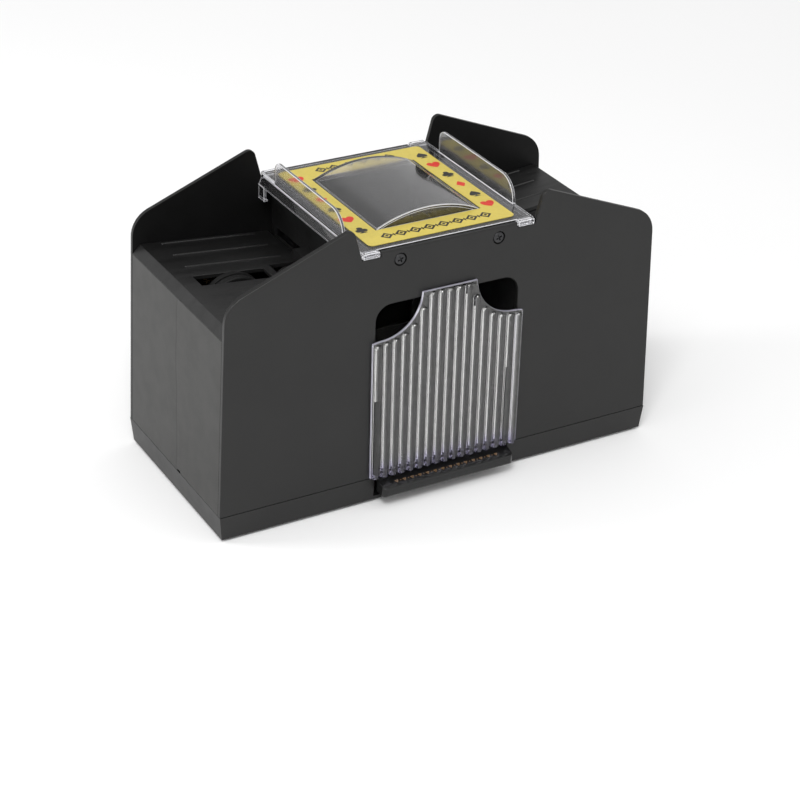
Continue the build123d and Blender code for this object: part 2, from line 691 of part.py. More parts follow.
def drive_frame():
    """Two bearing plates tied by bars, with four tabs that hang it under the tray."""
    rear = block(FRAME_IN, FRAME_OUT, PLATE_Y - PLATE_T, PLATE_Y, FRAME_LOW, FRAME_TOP)
    front = block(FRAME_IN, FRAME_OUT, FRONT_PLATE_Y, FRONT_PLATE_Y + PLATE_T, FRAME_LOW, FRAME_TOP)
    frame = rear + front
    y0 = FRONT_PLATE_Y + PLATE_T / 2
    y1 = PLATE_Y - PLATE_T / 2
    frame += block(FRAME_IN, FRAME_IN + 5, y0, y1, FRAME_LOW, FRAME_LOW + 3)
    frame += block(FRAME_OUT - 5, FRAME_OUT, y0, y1, FRAME_LOW, FRAME_LOW + 3)
    reach = 7.0
    for u in TAB_X:
        for y, side in zip(frame_screw_ys(), (-1, 1)):
            edge = y + side * 3.6
            tab = block(u - 4, u + 4, min(edge, edge - side * reach), max(edge, edge - side * reach),
                        FRAME_TOP - 3, FRAME_TOP)
            frame += tab
    for u in TAB_X:
        for y in frame_screw_ys():
            frame -= rod_z(u, y, FRAME_TOP - 4, FRAME_TOP + 1, SCREW_R + 0.15)
    for axis in (FEED_AXIS, EXIT_AXIS):
        frame -= rod_y(axis[0], axis[1], FRONT_PLATE_Y - 1, PLATE_Y + 1, BUSH_R)
    for axis in (IDLER_AXIS, STEP_AXIS):
        frame -= rod_y(axis[0], axis[1], PLATE_Y - PLATE_T - 1, PLATE_Y + 1, PIN_R)
    frame -= rod_y(*MOTOR_AXIS, PLATE_Y - PLATE_T - 1, PLATE_Y + 1, 3.1)
    return frame


def shaft_bushes():
    """Flanged bushes for both roller shafts, in both plates."""
    bushes = []
    for axis in (FEED_AXIS, EXIT_AXIS):
        for y0, flange in ((FRONT_PLATE_Y, -1), (PLATE_Y - PLATE_T, 1)):
            bush = rod_y(axis[0], axis[1], y0, y0 + PLATE_T, BUSH_R)
            face = y0 if flange < 0 else y0 + PLATE_T
            head = (face - 0.8, face) if flange < 0 else (face, face + 0.8)
            bush += rod_y(axis[0], axis[1], *head, BUSH_HEAD_R)
            bushes.append(bush - rod_y(axis[0], axis[1], y0 - 2, y0 + PLATE_T + 2, SHAFT_R + RUN_FIT))
    return bushes


def gear_pins():
    """The fixed pins that the idler gear and the reduction gear turn on."""
    ends = ((IDLER_AXIS, LAYER_A[1]), (STEP_AXIS, LAYER_B[1]))
    return [rod_y(axis[0], axis[1], PLATE_Y - PLATE_T, end + 0.9, PIN_R) for axis, end in ends]


# ================================================================ press bar and switch
def press_bar():
    """The bar in front of the drawer that is pressed down to run the motors."""
    nose = FRONT_Y - BAR_REACH
    inner = FRONT_Y + 3.2
    side = outline([
        (nose, BAR_NOSE_LOW),
        (nose, BAR_NOSE_TOP),
        (FRONT_Y, BAR_TOP),
        (inner, BAR_TOP),
        (inner, BAR_TOP - BAR_T),
        (FRONT_Y + 0.6, BAR_TOP - BAR_T),
        (FRONT_Y - 0.4, BAR_NOSE_LOW),
    ])
    bar = slab_x(round_corners(side, [(nose, BAR_NOSE_TOP), (nose, BAR_NOSE_LOW)], 1.4), -BAR_X, BAR_X)
    corners = [(-BAR_X, nose), (BAR_X, nose)]
    plan = outline([corners[0], corners[1], (BAR_X, inner + 1), (-BAR_X, inner + 1)])
    bar &= extrude(round_corners(plan, corners, BAR_END_R), amount=SEAM_H)
    arm_z = BAR_TOP - BAR_T
    bar += block(-BAR_X, BAR_X, inner - 1, BAR_PIVOT_Y, arm_z, BAR_TOP - 0.2)
    bar += rod_x(BAR_PIVOT_Y, BAR_PIVOT_Z, -BAR_X + 0.5, BAR_X - 0.5, BAR_BARREL_R)
    for x in (-24, 24):
        bar -= block(x - 8, x + 8, BAR_PIVOT_Y - 3.6, BAR_PIVOT_Y + 4, 0, SEAM_H)
    return bar - rod_x(BAR_PIVOT_Y, BAR_PIVOT_Z, -BAR_X - 1, BAR_X + 1, BAR_PIN_R + RUN_FIT)


def bar_pin():
    return rod_x(BAR_PIVOT_Y, BAR_PIVOT_Z, -BIN_IN + 0.2, BIN_IN - 0.2, BAR_PIN_R)


def coil(x, y, z0, height, radius, wire, turns):
    """A round-wire compression spring standing on z0."""
    path = Helix(pitch=(height - 2 * wire) / turns, height=height - 2 * wire, radius=radius - wire)
    path = Pos(x, y, z0 + wire) * path
    section = Plane(path @ 0, z_dir=path % 0) * Circle(wire)
    return sweep(section, path=path)


def bar_springs():
    height = BAR_TOP - BAR_T - BASE_T - 0.2
    return [coil(x, SPRING_Y, BASE_T + 0.1, height, SPRING_R, SPRING_WIRE, SPRING_TURNS)
            for x in (-SPRING_X, SPRING_X)]


def switch_body():
    """The small switch under the bar, with its two solder tags."""
    half = SWITCH_X / 2
    y0 = SWITCH_Y - SWITCH_D / 2
    y1 = SWITCH_Y + SWITCH_D / 2
    body = block(-half, half, y0, y1, BASE_T, BASE_T + SWITCH_H)
    for side in (-1, 1):
        x = side * SWITCH_TAG_X
        body += block(x - 0.7, x + 0.7, y1, y1 + 2.4, BASE_T + 1.6, BASE_T + 2.1)
    return body - rod_z(0, SWITCH_Y, BASE_T + SWITCH_H - 3, BASE_T + SWITCH_H + 1, PLUNGER_R + 0.06)


def switch_plunger():
    low = BASE_T + SWITCH_H - 1.4
    high = BAR_TOP - BAR_T - PLUNGER_GAP
    return rod_z(0, SWITCH_Y, low, high, PLUNGER_R)


def motor_lead():
    """The twin lead from one motor, over the battery box and under the bin wall, to the switch."""
    u, z = MOTOR_AXIS
    start_y = PLATE_Y - PLATE_T - MOTOR_LENGTH - 3.2
    wall = BIN_OUT + 3.4
    over = BASE_T + 2 * CELL_R + 6.5
    tag_y = SWITCH_Y + SWITCH_D / 2 + 2.4
    route = [
        (u - 6.4, start_y, z),
        (u - 6.4, start_y - 9, z),
        (u - 9, start_y - 10, z - 20),
        (u - 22, LEAD_PASS_Y + 9, over + 2),
        (wall + 12, LEAD_PASS_Y, over),
        (wall, LEAD_PASS_Y, over - 4),
        (wall, LEAD_PASS_Y, LEAD_LOW),
        (wall - 18, LEAD_PASS_Y, LEAD_LOW),
        (SWITCH_TAG_X + 8, LEAD_PASS_Y - 1, BASE_T + 1.85),
        (SWITCH_TAG_X, LEAD_PASS_Y - 2, BASE_T + 1.85),
        (SWITCH_TAG_X, tag_y, BASE_T + 1.85),
    ]
    points = [Vector(*p) for p in route]
    radii = []
    for before, at, after in zip(points, points[1:], points[2:]):
        run = min((at - before).length, (after - at).length)
        turn = (at - before).get_angle(after - at)
        radii.append(0.45 * run / tan(radians(turn) / 2))
    path = FilletPolyline(*route, radius=radii)
    section = Plane(path @ 0, z_dir=path % 0) * Circle(LEAD_R)
    return sweep(section, path=path)


def motor_leads():
    return both(motor_lead())


# ================================================================ battery bay
def bay_size():
    """Inner width along X and inner length along Y."""
    return CELLS * CELL_PITCH, CELL_LENGTH + 2 * BAY_END


def bay_hole(grow):
    wide, long = bay_size()
    return block(BAY_U - wide / 2 - grow, BAY_U + wide / 2 + grow, -long / 2 - grow, long / 2 + grow, -1, BASE_T + 1)


def battery_box():
    """The box for the cells, open at the bottom, with a low rib between each pair of cells."""
    wide, long = bay_size()
    top = BASE_T + 2 * CELL_R + 0.6
    x0, x1 = BAY_U - wide / 2, BAY_U + wide / 2
    outer = block(x0 - BAY_WALL, x1 + BAY_WALL, -long / 2 - BAY_WALL, long / 2 + BAY_WALL, BASE_T, top + BAY_WALL)
    box = outer - block(x0, x1, -long / 2, long / 2, BASE_T - 1, top)
    for i in range(1, CELLS):
        x = x0 + i * CELL_PITCH
        box += block(x - 0.3, x + 0.3, -long / 2 + 12, long / 2 - 12, top - 4.0, top + 0.5)
    x, y = cover_screw_place()
    box += rod_z(x, y, COVER_T + SEAM_GAP, COVER_BOSS_H, COVER_BOSS_R)
    box += block(x - 1.2, x + 1.2, -long / 2 - 0.5, y, BASE_T, COVER_BOSS_H)
    return box - rod_z(x, y, BASE_T - 1, COVER_BOSS_H - 1, SCREW_R + SCREW_FIT)


def cover_screw_place():
    _, long = bay_size()
    return BAY_U, -long / 2 + SCREW_HEAD_R + 0.5


def battery_cover():
    """The cover of the battery bay, flush with the underside, held by one screw."""
    wide, long = bay_size()
    gap = COVER_GAP
    cover = block(BAY_U - wide / 2 + gap, BAY_U + wide / 2 - gap, -long / 2 + gap, long / 2 - gap, 0, COVER_T)
    x, y = cover_screw_place()
    cover -= rod_z(x, y, -1, COVER_T + 1, SCREW_R + 0.15)
    return cover - rod_z(x, y, -1, FLAT_HEAD_H + 0.1, SCREW_HEAD_R + 0.2)


def cell_lines():
    wide, _ = bay_size()
    return [BAY_U - wide / 2 + (i + 0.5) * CELL_PITCH for i in range(CELLS)]


def battery_springs():
    """A spring for the flat end of each cell, at alternate ends of the box."""
    _, long = bay_size()
    z = BASE_T + CELL_R + 0.3
    springs = []
    for i, x in enumerate(cell_lines()):
        end = 1 if i % 2 else -1
        spring = coil(0, 0, 0, 7.5, 3.6, 0.35, 4)
        spring = Pos(x, end * (long / 2 - 0.6), z) * Rot(90 * end, 0, 0) * spring
        springs.append(spring)
    return springs


def battery_plates():
    """Contact plates at both ends of every cell."""
    _, long = bay_size()
    z = BASE_T + CELL_R + 0.3
    plates = []
    for x in cell_lines():
        for end in (-1, 1):
            y = end * (long / 2 - 0.3)
            plates.append(block(x - CONTACT_W / 2, x + CONTACT_W / 2, y - 0.25, y + 0.25, z - 5, z + 5))
    return plates


# ================================================================ screws
def driven_screw(length):
    """A pan-head cross-recess screw: its shank runs from z = 0 down, its head from 0 up."""
    head = rod_z(0, 0, 0, SCREW_HEAD_H, SCREW_HEAD_R)
    head = fillet(head.edges().group_by(Axis.Z)[-1], 0.9)
    for turn in (0, 90):
        head -= Pos(0, 0, SCREW_HEAD_H) * Rot(0, 0, turn) * Box(3.0, 0.7, 1.6)
    return head + rod_z(0, 0, -length, 0.1, SCREW_R)


def panel_screws():
    """The two screws at the top of the front panel and the two at the back."""
    screws = []
    for x, z in panel_screw_places():
        for side, turn in ((-1, 90), (1, -90)):
            seat = side * (HALF_D - SCREW_HEAD_H - 0.1)
            screws.append(Pos(x, seat, z) * Rot(turn, 0, 0) * Rot(0, 0, 25) * driven_screw(5.0))
    return screws


def flat_screw(length):
    """A flat-head screw: its shank runs from z = 0 down, its head from 0 up."""
    head = rod_z(0, 0, 0, FLAT_HEAD_H, SCREW_HEAD_R)
    for turn in (0, 90):
        head -= Pos(0, 0, FLAT_HEAD_H) * Rot(0, 0, turn) * Box(3.0, 0.7, 0.9)
    return head + rod_z(0, 0, -length, 0.1, SCREW_R)


def base_screws():
    """The screws seen from below: four into the end panels' columns and one in the battery cover."""
    seat = FLAT_HEAD_H + 0.1
    screws = [Pos(x, y, seat) * Rot(180, 0, 0) * flat_screw(12) for x, y in base_corners()]
    x, y = cover_screw_place()
    return screws + [Pos(x, y, seat) * Rot(180, 0, 0) * flat_screw(5)]


def frame_screws():
    """The screws that hang both drive frames under their trays."""
    screws = []
    for u in TAB_X:
        for y in frame_screw_ys():
            screws += both(Pos(u, y, FRAME_TOP - 3) * Rot(180, 0, 0) * driven_screw(6.0))
    return screws


# ================================================================ drawer
def door_face():
    """The drawer front's outline: a raised tab in the middle and a round scoop each side."""
    scoop_x = DOOR_TAB_X + DOOR_SCOOP_R
    scoop_z = DOOR_SHOULDER + 0.6 + DOOR_SCOOP_R
    start = Line((DOOR_X, DOOR_LOW), (DOOR_X, DOOR_SHOULDER))
    slope = Line((DOOR_X, DOOR_SHOULDER), (scoop_x, DOOR_SHOULDER + 0.6))
    angle = degrees(acos((DOOR_TOP - scoop_z) / DOOR_SCOOP_R)) if abs(DOOR_TOP - scoop_z) < DOOR_SCOOP_R else 90
    end = (scoop_x - DOOR_SCOOP_R * sin(radians(angle)), DOOR_TOP)
    mid = polar((scoop_x, scoop_z), DOOR_SCOOP_R, 225)
    scoop = ThreePointArc((scoop_x, DOOR_SHOULDER + 0.6), mid, end)
    top = Line(end, (0, DOOR_TOP))
    right = [start, slope, scoop, top]
    left = [mirror(edge, about=Plane.YZ) for edge in right]
    low = Line((-DOOR_X, DOOR_LOW), (DOOR_X, DOOR_LOW))
    return make_face(right + left + [low])


def door_top_at(x):
    """Height of the drawer front's top edge at distance x from the middle."""
    x = abs(x)
    scoop_x = DOOR_TAB_X + DOOR_SCOOP_R
    scoop_z = DOOR_SHOULDER + 0.6 + DOOR_SCOOP_R
    if x >= scoop_x:
        return DOOR_SHOULDER
    aside = scoop_x - x
    if aside < DOOR_SCOOP_R:
        return min(DOOR_TOP, scoop_z - sqrt(DOOR_SCOOP_R**2 - aside**2))
    return DOOR_TOP


def drawer_front():
    """The clear plate in front of the cards, with its upright half-round ribs."""
    back = FRONT_Y - DOOR_GAP
    face_y = back - DOOR_T
    plate = slab_y(door_face(), face_y, back)
    margin = 2.2
    for i in range(DOOR_RIBS):
        x = (i - (DOOR_RIBS - 1) / 2) * DOOR_RIB_PITCH
        top = min(door_top_at(x - DOOR_RIB_R), door_top_at(x + DOOR_RIB_R)) - margin
        rib = rod_z(x, face_y, DOOR_LOW, top, DOOR_RIB_R)
        rib += Pos(x, face_y, top) * Sphere(DOOR_RIB_R)
        rib &= block(x - 3, x + 3, face_y - 3, face_y + 0.4, DOOR_LOW, top + 3)
        plate += rib
    return plate


def drawer_tray():
    """The clear tray behind the drawer front: floor, two sides and a low rear wall."""
    y0 = FRONT_Y - DOOR_GAP
    y1 = y0 + DRAWER_LENGTH
    z0 = DECK_Z + DECK_T + 0.1
    t = DRAWER_T
    tray = block(-DRAWER_X, DRAWER_X, y0, y1, z0, z0 + t)
    for side in (-1, 1):
        x = side * (DRAWER_X - t / 2)
        tray += block(x - t / 2, x + t / 2, y0, y1, z0, z0 + DRAWER_SIDE_H)
    tray += block(-DRAWER_X, DRAWER_X, y1 - t, y1, z0, z0 + DRAWER_REAR_H)
    return tray


# ================================================================ lid
def lid_plate():
    """The lid's flat plate, with its window hole."""
    y = INNER_Y - LID_GAP
    plate = block(-LID_EDGE_X + 1.5, LID_EDGE_X - 1.5, -y, y, LID_TOP - LID_T, LID_TOP)
    return plate - block(-WINDOW_X, WINDOW_X, -WINDOW_Y, WINDOW_Y, LID_TOP - LID_T - 1, LID_TOP + 1)


def vault_radius(rise, half):
    return (half**2 + rise**2) / (2 * rise)


def window_vault():
    """The arched window: a thin barrel along Y, closed by a wall at each end."""
    radius = vault_radius(WINDOW_RISE, WINDOW_X)
    centre = LID_TOP + WINDOW_RISE - radius
    low = LID_TOP - LID_T
    trim = block(-WINDOW_X, WINDOW_X, -WINDOW_Y, WINDOW_Y, low, LID_TOP + WINDOW_RISE + 1)
    solid = rod_y(0, centre, -WINDOW_Y, WINDOW_Y, radius) & trim
    half = WINDOW_X - WINDOW_T
    hollow = rod_y(0, centre, -WINDOW_Y + WINDOW_T, WINDOW_Y - WINDOW_T, radius - WINDOW_T)
    hollow &= block(-half, half, -WINDOW_Y, WINDOW_Y, low - 1, LID_TOP + WINDOW_RISE)
    return solid - hollow


def lid_lip():
    """The rounded side edge of the lid, leaning out over the card slot."""
    y = INNER_Y - LID_GAP
    x = LID_EDGE_X
    top = LID_TOP
    t = LID_T
    face = outline([
        (x - 2.4, top),
        (x - 0.6, top - 0.1),
        (x, top - 0.9),
        (x + LIP_OUT, top - LIP_H),
        (x + LIP_OUT - 1.4, top - LIP_H),
        (x - 1.6, top - t),
        (x - 2.4, top - t),
    ])
    return slab_y(face, -y, y)


def lid_flange():
    """The upright flange along one side of the lid that guides the cards."""
    front = (-LID_FLANGE_FRONT, LID_TOP + LID_FLANGE_H)
    back = (LID_FLANGE_BACK, LID_TOP + LID_FLANGE_H)
    face = outline([(-LID_FLANGE_FRONT, LID_TOP - 1), front, back, (LID_FLANGE_BACK, LID_TOP - 1)])
    face = round_corners(face, [front], FLANGE_FRONT_R)
    face = round_corners(face, [back], FLANGE_BACK_R)
    return slab_x(face, LID_EDGE_X - 0.4 - LID_FLANGE_T, LID_EDGE_X - 0.4)


def lid_hook(end):
    """A hook under one end of the lid's side lip."""
    y = INNER_Y - LID_GAP
    x = LID_EDGE_X + LIP_OUT
    low = LID_TOP - LIP_H - HOOK_H
    y0, y1 = (y - HOOK_W, y) if end > 0 else (-y, -y + HOOK_W)
    hook = block(x - HOOK_T, x, y0, y1, low, LID_TOP - LIP_H + 0.3)
    return hook + block(x - HOOK_T - 0.8, x, y0, y1, low, low + 1.1)


def lid_foot(end):
    """A foot that stands in a panel's notch."""
    y0 = INNER_Y - LID_FOOT_INNER
    y1 = HALF_D
    foot = block(LID_FOOT_IN, LID_FOOT_OUT, y0, y1, NOTCH_Z + 0.05, LID_TOP)
    foot -= block(LID_FOOT_IN + 1.4, LID_FOOT_OUT - 1.4, y0 + 2.2, y1 - 1.0, NOTCH_Z, LID_TOP + 1)
    return foot if end > 0 else mirror(foot, about=Plane.XZ)


def lid_cover():
    lid = lid_plate() + window_vault()
    for part in (lid_lip(), lid_flange(), lid_hook(-1), lid_hook(1), lid_foot(-1), lid_foot(1)):
        for piece in both(part):
            lid += piece
    return lid


def lid_label():
    """The printed label round the window."""
    corners = [(sx * LABEL_X, sy * LABEL_Y) for sx in (-1, 1) for sy in (-1, 1)]
    face = Rectangle(2 * LABEL_X, 2 * LABEL_Y)
    face = round_corners(face, corners, LABEL_R)
    face -= Rectangle(2 * WINDOW_X + 0.6, 2 * WINDOW_Y + 0.6)
    return extrude(Pos(0, 0, LID_TOP) * face, amount=LABEL_T)


# ================================================================ nodes
def fixed_nodes():
    return {
        "front_panel": front_panel(),
        "back_panel": back_panel(),
        "base_shell": base_shell(),
        "rubber_feet": rubber_feet(),
        "bin_deck": bin_deck(),
        "top_rails": [top_rail(True), top_rail(False)],
        "battery_box": battery_box(),
        "battery_springs": battery_springs(),
        "battery_plates": battery_plates(),
        "battery_cover": battery_cover(),
        "panel_screws": panel_screws(),
        "base_screws": base_screws(),
        "frame_screws": frame_screws(),
        "bar_pin": bar_pin(),
        "bar_springs": bar_springs(),
        "switch_body": switch_body(),
        "motor_leads": motor_leads(),
        "retard_pads": both(retard_pad()),
        "shaft_bushes": [bush for one in shaft_bushes() for bush in both(one)],
        "gear_pins": [pin for one in gear_pins() for pin in both(one)],
    }


def moving_nodes():
    return {
        "press_bar": press_bar(),
        "switch_plunger": switch_plunger(),
        "drawer_front": drawer_front(),
        "drawer_tray": drawer_tray(),
        "lid_cover": lid_cover(),
        "lid_label": lid_label(),
    }


def side_nodes():
    """The nodes that come in pairs, as they stand on the +X side."""
    return {
        "end_panel": end_panel(),
        "card_tray": card_tray(),
        "bin_wall": bin_wall(),
        "drive_frame": drive_frame(),
        "motor_can": motor_can(),
        "motor_shaft": motor_shaft(),
        "motor_pinion": motor_pinion(),
        "reduction_gear": reduction_gear(),
        "idler_gear": idler_gear(),
        "feed_shaft": shaft(FEED_AXIS),
        "feed_hub": roller_hub(FEED_AXIS, FEED_R),
        "feed_rubber": roller_rubber(FEED_AXIS, FEED_R),
        "feed_gear": roller_gear(FEED_AXIS, FEED_TEETH, FEED_TURN),
        "exit_shaft": shaft(EXIT_AXIS),
        "exit_hub": roller_hub(EXIT_AXIS, EXIT_R),
        "exit_rubber": roller_rubber(EXIT_AXIS, EXIT_R),
        "exit_gear": roller_gear(EXIT_AXIS, EXIT_TEETH, EXIT_TURN),
    }


def main():
    os.makedirs("parts", exist_ok=True)
    for name, shape in {**fixed_nodes(), **moving_nodes()}.items():
        write(name, shape)
    for name, shape in side_nodes().items():
        pieces = shape if isinstance(shape, list) else [shape]
        write(f"right_{name}", pieces)
        write(f"left_{name}", [mirrored(piece) for piece in pieces])
    for name, axis in (("feed", FEED_AXIS), ("exit", EXIT_AXIS), ("idler", IDLER_AXIS),
                       ("step", STEP_AXIS), ("motor", MOTOR_AXIS)):
        print(f"{name} axis: x = {axis[0]:.4f}, z = {axis[1] + FOOT_PROUD:.4f}")


main()
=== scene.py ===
# %% [markdown]
# # An automatic card shuffler
# This lesson dresses a table-top machine that shuffles playing cards. The machine's own parts were
# drawn in CAD and packed as a fixed frame, so every place and size is read from that frame. Here
# the parts get their finishes, their softened edges and their printing. Lengths are in metres.

# %% Load the frame
import json
import math
import bmesh
import bpy
from mathutils import Matrix, Vector


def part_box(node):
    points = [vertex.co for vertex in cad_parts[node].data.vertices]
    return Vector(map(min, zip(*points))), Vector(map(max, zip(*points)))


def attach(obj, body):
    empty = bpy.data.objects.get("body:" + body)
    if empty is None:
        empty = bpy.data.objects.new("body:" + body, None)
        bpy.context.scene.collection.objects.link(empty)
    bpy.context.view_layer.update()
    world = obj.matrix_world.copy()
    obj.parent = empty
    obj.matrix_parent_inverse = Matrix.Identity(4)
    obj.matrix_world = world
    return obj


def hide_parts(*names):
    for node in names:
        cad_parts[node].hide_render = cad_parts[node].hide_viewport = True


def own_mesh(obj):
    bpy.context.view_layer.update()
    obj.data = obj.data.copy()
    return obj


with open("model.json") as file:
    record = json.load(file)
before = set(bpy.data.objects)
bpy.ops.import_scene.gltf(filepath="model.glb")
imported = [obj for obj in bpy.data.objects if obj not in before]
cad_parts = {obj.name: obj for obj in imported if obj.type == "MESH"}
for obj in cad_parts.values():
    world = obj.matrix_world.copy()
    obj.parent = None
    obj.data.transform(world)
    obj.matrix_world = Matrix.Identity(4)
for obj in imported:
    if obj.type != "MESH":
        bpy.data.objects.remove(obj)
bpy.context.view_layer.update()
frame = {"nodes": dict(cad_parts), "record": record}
nodes = frame["nodes"]
MM = 0.001

# %% [markdown]
# ## The camera
# A product picture is taken from a little to the left of the front, looking down, with a long lens
# so that upright edges stay nearly parallel. The camera is placed by an aiming point, a distance and
# two angles, which is easier to think about than a position. A slight roll stands for a tripod head
# that wasn't quite level.

# %% Place the camera
AIM = Vector((0.0023, -0.0021, 0.0228))
DISTANCE = 1.06
AZIMUTH = math.radians(-29.95)
ELEVATION = math.radians(29.41)
ROLL = math.radians(1.64)

FOCAL_LENGTH = 96.95
SENSOR_WIDTH = 36.0
lens = bpy.data.cameras.new("camera")
lens.lens = FOCAL_LENGTH
lens.sensor_width = SENSOR_WIDTH
lens.clip_start = 0.05
lens.clip_end = 20.0
camera = bpy.data.objects.new("camera", lens)
bpy.context.scene.collection.objects.link(camera)
level = math.cos(ELEVATION)
away = Vector((math.sin(AZIMUTH) * level, -math.cos(AZIMUTH) * level, math.sin(ELEVATION)))
camera.location = AIM + DISTANCE * away
upright = away.to_track_quat("Z", "Y").to_matrix()
camera.rotation_euler = (upright @ Matrix.Rotation(ROLL, 3, "Z")).to_euler()
bpy.context.scene.camera = camera
print("camera at", [round(place, 3) for place in camera.location])

# %% [markdown]
# ## How a finish is built
# A finish is one Principled shader fed by a few fields. A field is a noise on the piece's own
# coordinates: a coarse one for handling and dust, a fine one for the grain of the mould, and a
# stretched one for rubbing in one direction. Small helpers start a finish, make a field, turn it
# into a number or a colour, turn it into relief, follow one axis, and lighten a colour.

# %% Helpers for finishes
def finish_tree(name):
    material = bpy.data.materials.new(name)
    material.use_nodes = True
    return material, material.node_tree, material.node_tree.nodes["Principled BSDF"]


def field(tree, size, detail=3.0, stretch=(1, 1, 1), rough=0.55):
    """A noise whose blotches are about size across; stretch shrinks it along each axis."""
    place = tree.nodes.new("ShaderNodeTexCoord")
    scale = tree.nodes.new("ShaderNodeMapping")
    noise = tree.nodes.new("ShaderNodeTexNoise")
    scale.inputs["Scale"].default_value = stretch
    noise.inputs["Scale"].default_value = 1 / size
    noise.inputs["Detail"].default_value = detail
    noise.inputs["Roughness"].default_value = rough
    tree.links.new(place.outputs["Object"], scale.inputs["Vector"])
    tree.links.new(scale.outputs["Vector"], noise.inputs["Vector"])
    return noise.outputs["Fac"]


def number(tree, source, low, high, start=0.35, end=0.65):
    """The field as a number between low and high."""
    spread = tree.nodes.new("ShaderNodeMapRange")
    spread.inputs["From Min"].default_value = start
    spread.inputs["From Max"].default_value = end
    spread.inputs["To Min"].default_value = low
    spread.inputs["To Max"].default_value = high
    tree.links.new(source, spread.inputs["Value"])
    return spread.outputs["Result"]


def two_tone(tree, source, first, second):
    """A colour between two, chosen by a number from 0 to 1."""
    mix = tree.nodes.new("ShaderNodeMix")
    mix.data_type = "RGBA"
    tree.links.new(source, mix.inputs["Factor"])
    for socket, colour in (("A", first), ("B", second)):
        plug = [s for s in mix.inputs if s.name == socket and s.type == "RGBA"][0]
        if isinstance(colour, tuple):
            plug.default_value = (*colour, 1)
        else:
            tree.links.new(colour, plug)
    return [s for s in mix.outputs if s.type == "RGBA"][0]


def relief(tree, source, height, below=None):
    """Relief of the given height in metres, over an earlier relief if there is one."""
    bump = tree.nodes.new("ShaderNodeBump")
    bump.inputs["Distance"].default_value = height
    bump.inputs["Strength"].default_value = 1.0
    tree.links.new(source, bump.inputs["Height"])
    if below is not None:
        tree.links.new(below, bump.inputs["Normal"])
    return bump.outputs["Normal"]


def along(tree, axis, low, high, wander=None):
    """A number that climbs from 0 at low to 1 at high on one axis; wander sways the places."""
    place = tree.nodes.new("ShaderNodeTexCoord")
    split = tree.nodes.new("ShaderNodeSeparateXYZ")
    tree.links.new(place.outputs["Object"], split.inputs["Vector"])
    distance = split.outputs[axis]
    if wander is not None:
        sway = tree.nodes.new("ShaderNodeMath")
        tree.links.new(distance, sway.inputs[0])
        tree.links.new(wander, sway.inputs[1])
        distance = sway.outputs["Value"]
    return number(tree, distance, 0, 1, low, high)


def shades(colour, share):
    """The colour, and the same colour lighter by that share."""
    return tuple(colour), tuple(min(1.0, part * (1 + share)) for part in colour)


# %% [markdown]
# ## Light and floor
# The machine stands in a white light tent, on white paper. Black plastic shows its form by what it
# mirrors: the upright faces mirror the paper, and one seen at a shallow angle mirrors more of it and
# looks paler, which is why the end of the machine is lighter than its front; the end panels' finish
# adds a little painted warm light. The tent is dimmer behind the machine, so that the trays, which
# mirror that side, stay dark. Two lamps, one in front and one at the side, keep the paper white and
# draw a bright line along every rounded edge.

# %% Floor, tent and lamps
def stage_plane(name, size):
    """A square floor at the height that the machine stands on."""
    shape = bmesh.new()
    bmesh.ops.create_grid(shape, x_segments=1, y_segments=1, size=size / 2)
    mesh = bpy.data.meshes.new(name)
    shape.to_mesh(mesh)
    shape.free()
    plane = bpy.data.objects.new(name, mesh)
    bpy.context.scene.collection.objects.link(plane)
    return plane


def soft_lamp(name, place, target, size, power):
    """A square lamp at place, turned to the target; size in metres and power in watts."""
    light = bpy.data.lights.new(name, "AREA")
    light.shape = "SQUARE"
    light.size = size
    light.energy = power
    lamp = bpy.data.objects.new(name, light)
    bpy.context.scene.collection.objects.link(lamp)
    lamp.location = place
    lamp.rotation_euler = (Vector(place) - Vector(target)).to_track_quat("Z", "Y").to_euler()
    return lamp


FLOOR_SIZE = 8.0
TENT_FRONT, TENT_BACK = 1.0, 0.5     # brightness in front of the machine and behind it
BACK_FROM, BACK_TO = 0.0, 0.6        # the brightness falls between these shares of straight back
floor = stage_plane("floor", FLOOR_SIZE)
tent = bpy.data.worlds.new("tent")
tent.use_nodes = True
tent_tree = tent.node_tree
backdrop = tent_tree.nodes["Background"]
backdrop.inputs["Color"].default_value = (1, 1, 1, 1)
direction = tent_tree.nodes.new("ShaderNodeTexCoord")
split = tent_tree.nodes.new("ShaderNodeSeparateXYZ")
tent_tree.links.new(direction.outputs["Generated"], split.inputs["Vector"])
strength = number(tent_tree, split.outputs["Y"], TENT_FRONT, TENT_BACK, BACK_FROM, BACK_TO)
tent_tree.links.new(strength, backdrop.inputs["Strength"])
bpy.context.scene.world = tent
soft_lamp("front lamp", (-0.55, -0.75, 1.15), target=(0, 0, 0.05), size=0.4, power=9.0)
soft_lamp("side lamp", (-1.1, 0.5, 0.75), target=(0, 0, 0.1), size=0.3, power=4.0)
bpy.context.scene.view_settings.view_transform = "Standard"
print("tent, floor and two lamps")

# %% [markdown]
# ## Moulded black plastic
# The housing, trays and inner frame are moulded in black. The mould was spark-eroded, which leaves
# a fine matt grain, and handling then polishes it in patches. The trays are smoother, and the cards
# rub them in the direction that they travel.

# %% Black plastics
PATCH_SIZE = 28 * MM     # handled patches
PATCH_SHARE = 0.2        # how much lighter they are
POLISH_SIZE = 9 * MM
GRAIN_SIZE = 0.35 * MM
RUB_SIZE = 1.2 * MM      # scratches
RUB_DEPTH = 1.5          # their depth, as a multiple of the grain's
SATIN_BLACK = (0.0078, 0.0077, 0.0075)
DEEP_BLACK = (0.006, 0.006, 0.006)
CARD_TRAVEL = (0.12, 1.6, 1)     # draws the rubbing out along X, as the cards travel


